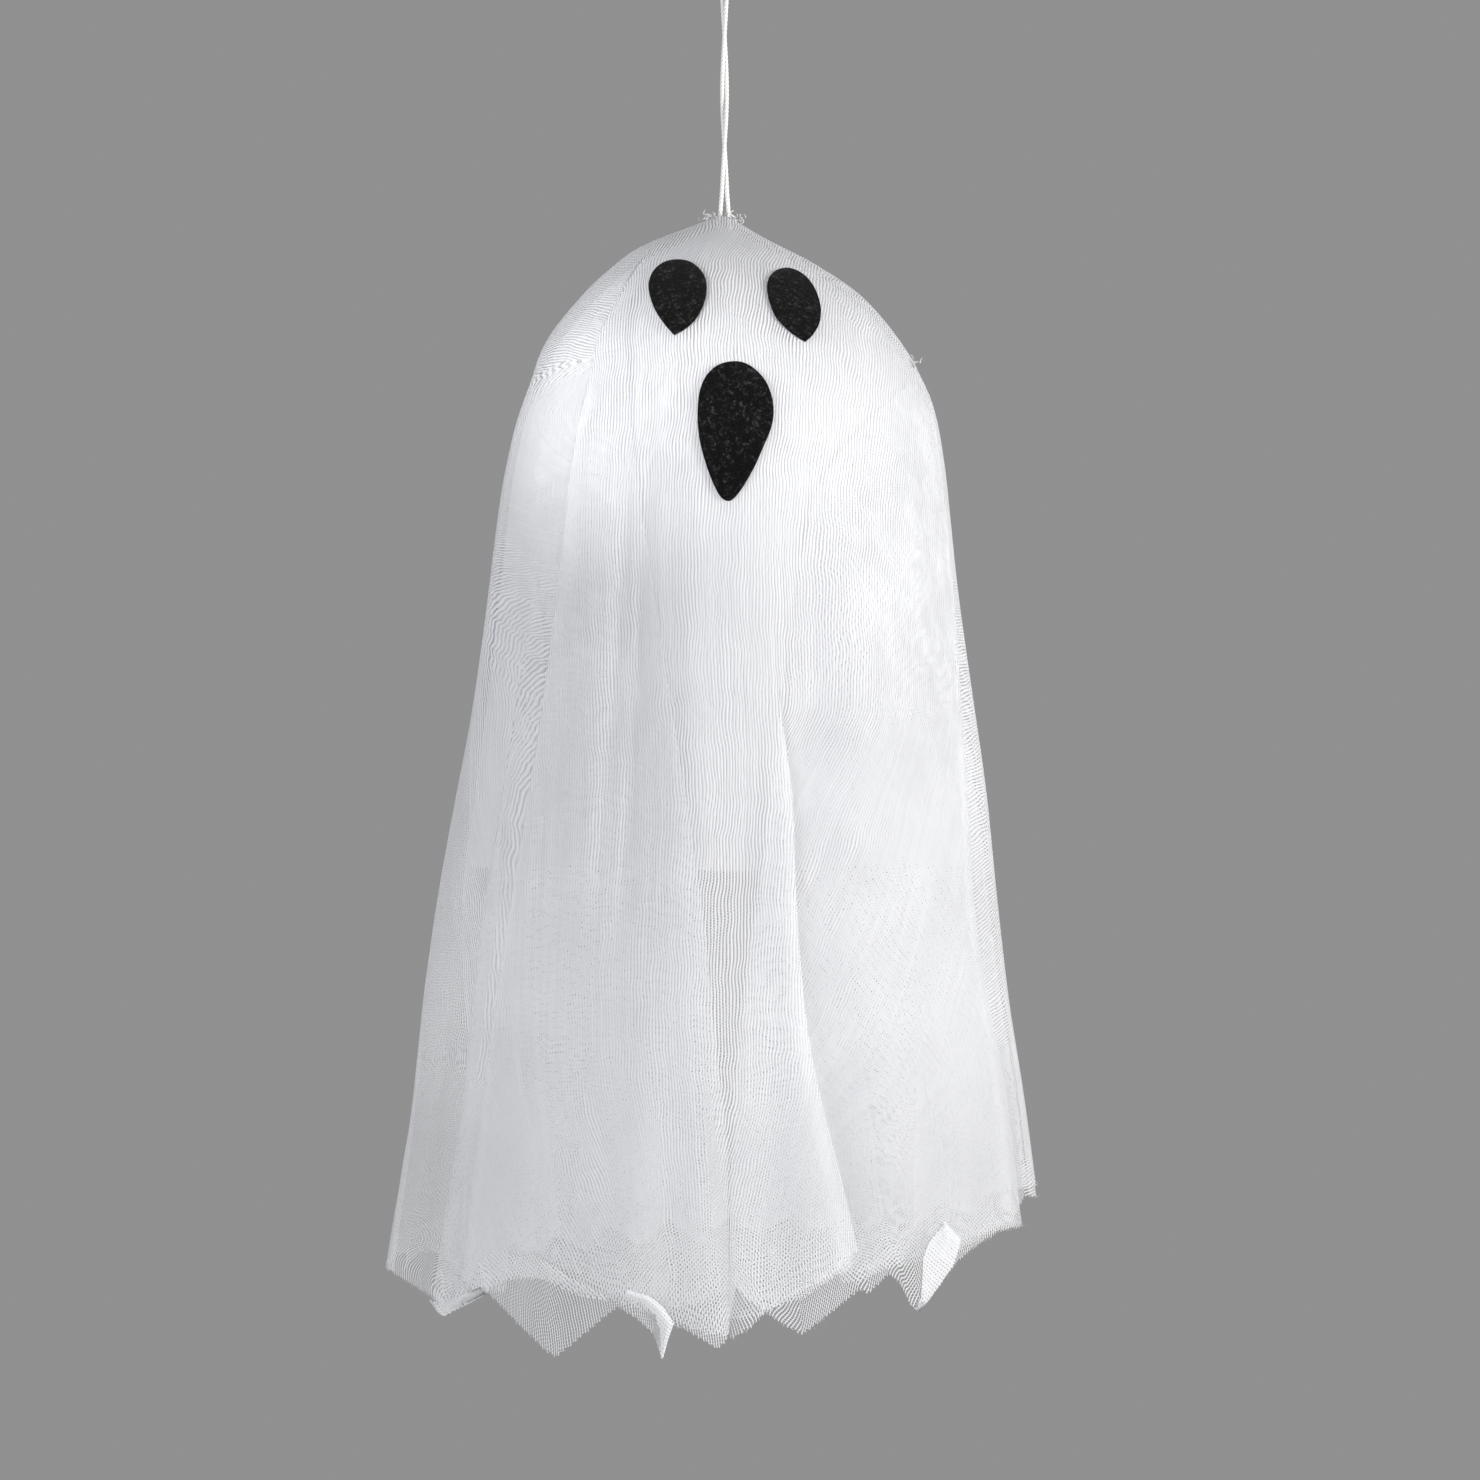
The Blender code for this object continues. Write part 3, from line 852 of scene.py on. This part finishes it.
def frontPlace(x, z, lift):
    # The point of the cloth's front at this place, lifted straight off it.
    depth = clothTop - z

    def surface(side, down):
        reach = halfWidth(down)
        turn = math.degrees(math.asin((side - sideShift(down)) / reach))
        reach += waves(turn, down)
        return Vector((side, -math.sqrt(reach**2 - (side - sideShift(down)) ** 2), clothTop - down))

    here = surface(x, depth)
    right = surface(x + 0.0005, depth) - here
    below = surface(x, depth + 0.0005) - here
    out = below.cross(right).normalized()
    if out.y > 0:
        out = -out
    return here + out * lift


def fromPhoto(across, down):
    # The place on the cloth's front that shows at this pixel.
    x, z = 0.0, clothTop
    y = -0.09
    for again in range(6):
        size = photo["pixel"] * (photo["distance"] + y) / photo["distance"]
        x = photo["across"] + (across - photo["middle"]) * size
        z = photo["height"] - (down - photo["middle"]) * size
        y = frontPlace(x, z, 0.0).y
    return Vector((x, 0, z))


def makeFelt(name, finish, sharp):
    corners = [fromPhoto(*spot) for spot in face[name]]
    if sharp:
        outline = alongCurve([*corners, corners[0]], felt["step"])[0][:-1]
    else:
        outline = alongCurve([corners[-1], *corners, corners[0], corners[1]], felt["step"])[0]
        first = min(range(len(outline) // 2), key=lambda at: (outline[at] - corners[0]).length)
        last = min(
            range(len(outline) // 2, len(outline)), key=lambda at: (outline[at] - corners[0]).length
        )
        outline = outline[first:last]
    middle = sum(outline, Vector()) / len(outline)
    count = len(outline)
    points, faces = [], []
    for back in (True, False):
        for size, full in zip(felt["rings"], felt["rounding"]):
            lift = felt["gap"] if back else felt["gap"] + felt["thick"] * full
            for spot in outline:
                at = middle + (spot - middle) * size
                points.append(frontPlace(at.x, at.z, lift))
        points.append(frontPlace(middle.x, middle.z, felt["gap"] + (0 if back else felt["thick"])))
    rings = len(felt["rings"])
    top = rings * count + 1
    for base in (0, top):
        made = []
        last = base + (rings - 1) * count
        for index in range(count):
            beside = (index + 1) % count
            for outer in range(base, last, count):
                made.append((outer + index, outer + beside, outer + count + beside, outer + count + index))
            made.append((last + index, last + beside, last + count))
        faces += made if base else [each[::-1] for each in made]
    for index in range(count):
        beside = (index + 1) % count
        faces.append((index, beside, top + beside, top + index))
    piece = addObject(name + "_felt", smoothMesh(name + "_felt", points, faces))
    dress(piece, finish, name)
    return piece


def feltMaterial():
    made, tree = newMaterial("black_felt_nap")
    place = objectPlace(tree)
    fibre = noise(tree, place, 760.0, 4.0, 0.75)
    matted = noise(tree, place, 320.0, 3.0)
    mixed = maths(tree, "MULTIPLY_ADD", fibre, 0.65, maths(tree, "MULTIPLY", matted, 0.35))
    colour = ramp(
        tree,
        mixed,
        [(0.42, (0.0005, 0.0004, 0.0004)), (0.53, (0.0022, 0.0018, 0.002)), (0.66, (0.042, 0.039, 0.041))],
    )
    skin = addNode(
        tree,
        "ShaderNodeBsdfPrincipled",
        [
            ("Base Color", colour),
            ("Roughness", 0.95),
            ("Specular IOR Level", 0.12),
            ("Sheen Weight", 0.03),
            ("Normal", bumpFrom(tree, mixed, 0.9, 0.0005)),
        ],
    )
    showSurface(tree, skin)
    return made


feltFinish = feltMaterial()
feltPieces = [
    makeFelt("left_eye", feltFinish, True),
    makeFelt("right_eye", feltFinish, True),
    makeFelt("mouth", feltFinish, False),
]
print("face made")


# Turned-up corners of the hem, each between two lines on the photograph

flaps = (
    {
        "name": "left_turned_hem",
        "upper": ((429, 1300), (441, 1303), (460, 1296), (482, 1286)),
        "lower": ((438, 1313), (444, 1317), (465, 1306), (487, 1294)),
        "roll": 0.0016,
    },
    {
        "name": "front_turned_hem",
        "upper": ((478, 1263), (493, 1252), (511, 1250), (533, 1254), (550, 1264), (575, 1280), (612, 1299)),
        "lower": ((487, 1292), (499, 1285), (515, 1278), (533, 1278), (549, 1284), (571, 1294), (616, 1304)),
        "roll": 0.0012,
        "thin": True,
    },
    {
        "name": "curled_tip",
        "upper": ((628, 1290), (650, 1296), (664, 1308), (674, 1323), (668, 1340), (663, 1359)),
        "lower": ((625, 1297), (643, 1304), (654, 1315), (659, 1329), (660, 1344), (661, 1358)),
        "roll": 0.0022,
    },
    {
        "name": "right_turned_tip",
        "upper": ((945, 1222), (961, 1240), (958, 1252), (953, 1266), (941, 1283), (930, 1299), (917, 1314)),
        "lower": ((944, 1223), (930, 1240), (924, 1252), (922, 1268), (921, 1288), (919, 1302), (912, 1311)),
        "roll": 0.0018,
    },
)


flapGrid = {"columns": 40, "rows": 7, "gap": 0.0006}


def alongLine(line, share):
    # The point at a share of the way along a line of straight steps
    steps = [math.dist(first, second) for first, second in zip(line, line[1:])]
    want = share * sum(steps)
    for (first, second), step in zip(zip(line, line[1:]), steps):
        if want <= step:
            break
        want -= step
    part = min(1.0, want / step)
    return tuple(a + part * (b - a) for a, b in zip(first, second))


def wayToCloth(cloth, eye, across, down):
    # How far along this pixel's line of sight the cloth is, or its nearest part beside the line.
    side = photo["across"] + (across - photo["middle"]) * photo["pixel"]
    spot = Vector((side, 0, photo["height"] - (down - photo["middle"]) * photo["pixel"]))
    ahead = (spot - eye).normalized()
    hit = cloth.ray_cast(eye, ahead)[0]
    if hit is None:
        beside = fromPhoto(across, down)
        hit = cloth.find_nearest(frontPlace(beside.x, beside.z, 0.0))[0]
    return ahead, (hit - eye).dot(ahead)


def makeFlap(flap, cloth, finish):
    eye = Vector((photo["across"], -photo["distance"], photo["height"]))
    # A thin sheet laid just before the cloth between the flap's two lines, swelling in the middle
    count, levels = flapGrid["columns"], flapGrid["rows"]
    sights = []
    for level in range(levels):
        row = []
        for index in range(count):
            upper = alongLine(flap["upper"], index / (count - 1))
            lower = alongLine(flap["lower"], index / (count - 1))
            share = level / (levels - 1)
            spot = [a + share * (b - a) for a, b in zip(upper, lower)]
            row.append(wayToCloth(cloth, eye, *spot))
        sights.append(row)
    for again in range(3):
        for row in sights:
            ways = [way for ahead, way in row]
            for index, (ahead, way) in enumerate(row):
                near = ways[max(0, index - 2) : index + 3]
                row[index] = (ahead, min(way, sum(near) / len(near)))
    rows, flat = [], []
    for level, row in enumerate(sights):
        swell = math.sin(math.pi * min(1.0, 0.12 + level / (levels - 1)))
        lift = flapGrid["gap"] + flap["roll"] * swell
        rows.append([eye + ahead * (way - lift) for ahead, way in row])
        flat.append([(0.7 * (place.x + place.z), 0.7 * (place.x - place.z)) for place in rows[-1]])
    piece = addObject(flap["name"], gridMesh(flap["name"], rows, flat, closed=False))
    dress(piece, finish)
    return piece


shroudTree = BVHTree.FromPolygons(
    [vertex.co for vertex in shroud.data.vertices],
    [tuple(each.vertices) for each in shroud.data.polygons],
)
turnedNet = netMaterial("turned_net_cloth", nets["turned"])
flapPieces = [makeFlap(flap, shroudTree, net if flap.get("thin") else turnedNet) for flap in flaps]
print("turned hem made")


# Loose fibres and threads, grown over their hosts by geometry nodes


def threadMesh(name, line, radius, sides=3):
    # A fine thread along a line of points, as a template for the growth
    points = sweep(line, Vector((0, 0, 1)), sides, lambda turn, run: radius)
    return addObject(name, smoothMesh(name, points, sweepFaces(0, len(line), sides)))


def growthNodes(name):
    group = bpy.data.node_groups.new(name, "GeometryNodeTree")
    group.interface.new_socket("Geometry", in_out="INPUT", socket_type="NodeSocketGeometry")
    for label, kind in (
        ("Density", "NodeSocketFloat"),
        ("Seed", "NodeSocketInt"),
        ("Thread", "NodeSocketObject"),
        ("Tilt", "NodeSocketFloat"),
        ("Smallest", "NodeSocketFloat"),
        ("Finish", "NodeSocketMaterial"),
    ):
        group.interface.new_socket(label, in_out="INPUT", socket_type=kind)
    group.interface.new_socket("Geometry", in_out="OUTPUT", socket_type="NodeSocketGeometry")
    given = addNode(group, "NodeGroupInput").outputs
    spread = addNode(
        group,
        "GeometryNodeDistributePointsOnFaces",
        [("Mesh", given["Geometry"]), ("Density", given["Density"]), ("Seed", given["Seed"])],
    )
    low = addNode(group, "ShaderNodeCombineXYZ", [("X", 0.0), ("Z", 0.0)])
    high = addNode(group, "ShaderNodeCombineXYZ", [("X", given["Tilt"]), ("Y", 0.6), ("Z", 2 * math.pi)])
    spin = addNode(
        group,
        "FunctionNodeRandomValue",
        [(0, low.outputs[0]), (1, high.outputs[0]), ("Seed", given["Seed"])],
        data_type="FLOAT_VECTOR",
    )
    turn = addNode(group, "FunctionNodeEulerToRotation", [(0, spin.outputs[0])])
    pose = addNode(
        group,
        "FunctionNodeRotateRotation",
        [(0, spread.outputs["Rotation"]), (1, turn.outputs[0])],
        rotation_space="LOCAL",
    )
    size = addNode(
        group,
        "FunctionNodeRandomValue",
        [(2, given["Smallest"]), (3, 1.0), ("Seed", given["Seed"])],
        data_type="FLOAT",
    )
    piece = addNode(group, "GeometryNodeObjectInfo", [("Object", given["Thread"])])
    copies = addNode(
        group,
        "GeometryNodeInstanceOnPoints",
        [
            ("Points", spread.outputs["Points"]),
            ("Instance", piece.outputs["Geometry"]),
            ("Rotation", pose.outputs[0]),
            ("Scale", size.outputs[1]),
        ],
    )
    real = addNode(group, "GeometryNodeRealizeInstances", [(0, copies.outputs[0])])
    dressed = addNode(
        group, "GeometryNodeSetMaterial", [("Geometry", real.outputs[0]), ("Material", given["Finish"])]
    )
    addNode(group, "NodeGroupOutput", [(0, dressed.outputs[0])])
    return group


growth = growthNodes("thread_growth")


def grow(name, host, thread, finish, density, tilt, smallest, seed):
    # Copies of a thread over a host's faces, turned into a plain mesh of its own.
    source = addObject(name, host.data.copy())
    made = source.modifiers.new("growth", "NODES")
    made.node_group = growth
    values = {
        "Density": density,
        "Seed": seed,
        "Thread": thread,
        "Tilt": tilt,
        "Smallest": smallest,
        "Finish": finish,
    }
    for item in growth.interface.items_tree:
        if item.in_out == "INPUT" and item.name in values:
            made[item.identifier] = values[item.name]
    view = bpy.context.evaluated_depsgraph_get()
    mesh = bpy.data.meshes.new_from_object(source.evaluated_get(view))
    source.modifiers.remove(made)
    source.data = mesh
    return source


def wavyLine(length, swing, turns, steps):
    return [
        Vector(
            (
                swing * math.sin(turns * math.pi * step / steps),
                length * step / steps,
                0.6 * swing * (1 - math.cos(turns * math.pi * step / steps)),
            )
        )
        for step in range(steps + 1)
    ]


def fibreMaterial(name, colour):
    made, tree = newMaterial(name)
    mottle = noise(tree, objectPlace(tree), 700.0)
    dark = tuple(0.35 * part for part in colour)
    shade = ramp(tree, mottle, [(0.35, dark), (0.65, colour)])
    skin = addNode(tree, "ShaderNodeBsdfPrincipled", [("Base Color", shade), ("Roughness", 0.8)])
    showSurface(tree, skin)
    return made


def makeNap():
    fibre = threadMesh("felt_fibre", wavyLine(0.0013, 0.00022, 1.5, 4), 0.00003)
    finish = fibreMaterial("felt_fibre_dark", (0.055, 0.052, 0.055))
    for index, host in enumerate(feltPieces):
        nap = grow(host.name + "_nap", host, fibre, finish, 2.6e6, 0.35, 0.4, 11 + index)
        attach(nap, "root")
    bpy.data.objects.remove(fibre)


def ribbonOf(name, rows):
    # A strip of faces between two closed rows of points, to grow threads on.
    count = len(rows[0])
    faces = [(at, count + at, count + (at + 1) % count, (at + 1) % count) for at in range(count)]
    mesh = bpy.data.meshes.new(name)
    mesh.from_pydata([tuple(place) for row in rows for place in row], [], faces)
    return addObject(name, mesh)


def patchOf(name, middle, wide, high):
    # A small patch facing up, to grow a tuft on.
    corners = [(-wide, -high), (wide, -high), (wide, high), (-wide, high)]
    mesh = bpy.data.meshes.new(name)
    mesh.from_pydata([(middle[0] + x, middle[1] + y, middle[2]) for x, y in corners], [], [(0, 1, 2, 3)])
    return addObject(name, mesh)


def makeFray(hemRows):
    # Cut ends along the hem, and tufts of pulled threads at the crown and the right shoulder.
    finish = fibreMaterial("white_thread", (0.88, 0.88, 0.88))
    stub = threadMesh("hem_stub", wavyLine(0.0019, 0.0003, 1.3, 4), 0.00007)
    hemStrip = ribbonOf("hem_strip", hemRows)
    fray = grow("hem_fray", hemStrip, stub, finish, 3.2e5, 1.2, 0.4, 3)
    curl = threadMesh("pulled_thread", wavyLine(0.0062, 0.0013, 3.1, 14), 0.00026, 5)
    tufts = (
        ("crown_fray_left", (-0.0060, -0.0026, clothTop - 0.0022), 0.0028, 0.0014, 7.5e5, 2.0, 5),
        ("crown_fray_right", (0.0060, -0.0022, clothTop - 0.0030), 0.0028, 0.0014, 7.5e5, 2.0, 8),
        ("shoulder_fray", (0.0822, -0.0040, clothTop - 0.0660), 0.0008, 0.0022, 7.0e5, 1.8, 2),
    )
    made = [fray]
    for name, middle, wide, high, density, tilt, seed in tufts:
        patch = patchOf(name + "_patch", middle, wide, high)
        made.append(grow(name, patch, curl, finish, density, tilt, 0.35, seed))
        bpy.data.objects.remove(patch)
    for piece in made:
        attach(piece, "root")
    for spare in (stub, curl, hemStrip):
        bpy.data.objects.remove(spare)
    return made


makeNap()
shroudMesh = shroud.data
hemCount = len(columnLabels())
hemPoints = [vertex.co.copy() for vertex in shroudMesh.vertices[-2 * hemCount :]]
frayPieces = makeFray([hemPoints[:hemCount], hemPoints[hemCount:]])
print("loose threads made", [len(piece.data.polygons) for piece in frayPieces])


# The knot under the wires' crossing: the strand tied on itself, with two short tails

knot = {"middle": -0.1467, "wide": 0.00155, "high": 0.0021, "tail": 0.0045}


def makeKnot(cotton):
    line = []
    for index in range(200):
        turn = 2 * math.pi * index / 199 * 0.985
        line.append(
            Vector(
                (
                    knot["wide"] * (math.sin(turn) + 1.35 * math.sin(2 * turn)),
                    knot["wide"] * (math.cos(turn) - 1.35 * math.cos(2 * turn)),
                    knot["middle"] - knot["high"] * math.sin(3 * turn),
                )
            )
        )
    tails = []
    for side in (-1, 1):
        begin = Vector((side * 0.0014, side * 0.0006, knot["middle"]))
        end = Vector((side * 0.0022, side * 0.0004, knot["middle"] - knot["tail"]))
        bend = begin.lerp(end, 0.5) + Vector((0, side * 0.0004, 0))
        tails.append(alongCurve([begin, bend, end], 0.0004)[0])
    piece = addObject("tied_knot", strandMesh("tied_knot", [line, *tails], 0.00115, 0.00003, 5))
    dress(piece, cotton, "cord_knot")


makeKnot(cotton)


# The wire frame keeps its CAD shape and gets its coating


def wireMaterial():
    made, tree = newMaterial("white_coated_wire")
    place = objectPlace(tree)
    skin = noise(tree, place, 900.0, 3.0)
    worn = noise(tree, place, 60.0)
    colour = ramp(tree, worn, [(0.3, (0.72, 0.72, 0.70)), (0.7, (0.84, 0.84, 0.83))])
    bump = bumpFrom(tree, skin, 0.2, 0.0001)
    rough = maths(tree, "MULTIPLY_ADD", skin, 0.2, 0.3)
    shader = addNode(
        tree,
        "ShaderNodeBsdfPrincipled",
        [("Base Color", colour), ("Roughness", rough), ("Coat Weight", 0.2), ("Normal", bump)],
    )
    showSurface(tree, shader)
    return made


wire = wireMaterial()
for name in ("shoulder_hoop", "side_arch", "front_arch"):
    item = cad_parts[name]
    for slotAt in item.material_slots:
        slotAt.material = wire
print("knot and wires made")


# Floor, light and background

stage = {
    "floor": -1.05,
    "radius": 0.9,
    "floorColour": (0.56, 0.56, 0.57, 1),
    "worldLight": (0.38, 0.38, 0.39, 1),
    "worldSeen": (0.28, 0.28, 0.285, 1),
    "spotSoftness": 0.03,
}
key = {"place": (2.1, -1.15, 0.1), "aim": (0, 0, -0.36), "size": 0.9, "power": 61}
fill = {"place": (-1.5, -1.8, -0.4), "aim": (0, 0, -0.46), "size": 1.2, "power": 28}
key["colour"] = (1.0, 0.99, 0.97)
fill["colour"] = (0.97, 0.98, 1.0)
lamps = {"key": key, "fill": fill}
# Two narrow lamps make the bright patches on the shoulders
leftSpot = {"place": (-1.4, -1.05, 0.25), "aim": (-0.060, -0.075, -0.196), "cone": 0.104, "power": 96}
rightSpot = {"place": (0.5, -1.6, 0.2), "aim": (0.056, -0.08, -0.224), "cone": 0.135, "power": 18}
spots = {"left_shoulder": leftSpot, "right_shoulder": rightSpot}


def makeStage():
    mesh = bpy.data.meshes.new("floor")
    disc = bmesh.new()
    bmesh.ops.create_circle(disc, cap_ends=True, radius=stage["radius"], segments=96)
    disc.to_mesh(mesh)
    disc.free()
    floor = addObject("floor", mesh)
    floor.location = (0, 0, stage["floor"])
    made, tree = newMaterial("floor_paper")
    paper = addNode(
        tree, "ShaderNodeBsdfPrincipled", [("Base Color", stage["floorColour"]), ("Roughness", 0.9)]
    )
    showSurface(tree, paper)
    mesh.materials.append(made)


def placeLamp(name, data, given):
    data.energy = given["power"]
    lamp = addObject(name, data)
    lamp.location = given["place"]
    lamp.rotation_mode = "QUATERNION"
    lamp.rotation_quaternion = (Vector(given["aim"]) - Vector(given["place"])).to_track_quat("-Z", "Y")


def makeLamps():
    for name, given in lamps.items():
        data = bpy.data.lights.new(name, "AREA")
        data.shape = "DISK"
        data.size = given["size"]
        data.color = given["colour"]
        placeLamp(name, data, given)
    for name, given in spots.items():
        data = bpy.data.lights.new(name, "SPOT")
        data.spot_size = given["cone"]
        data.spot_blend = 1.0
        data.shadow_soft_size = stage["spotSoftness"]
        placeLamp(name, data, given)


def makeWorld():
    # The camera sees a darker grey than the one that lights the object
    world = bpy.data.worlds.new("studio")
    world.use_nodes = True
    scene.world = world
    tree = world.node_tree
    seenBy = addNode(tree, "ShaderNodeLightPath").outputs["Is Camera Ray"]
    shade = addNode(
        tree, "ShaderNodeMix", [(0, seenBy), (6, stage["worldLight"]), (7, stage["worldSeen"])]
    )
    shade.data_type = "RGBA"
    tree.links.new(shade.outputs[2], tree.nodes["Background"].inputs["Color"])


makeStage()
makeWorld()
makeLamps()

print("stage made")
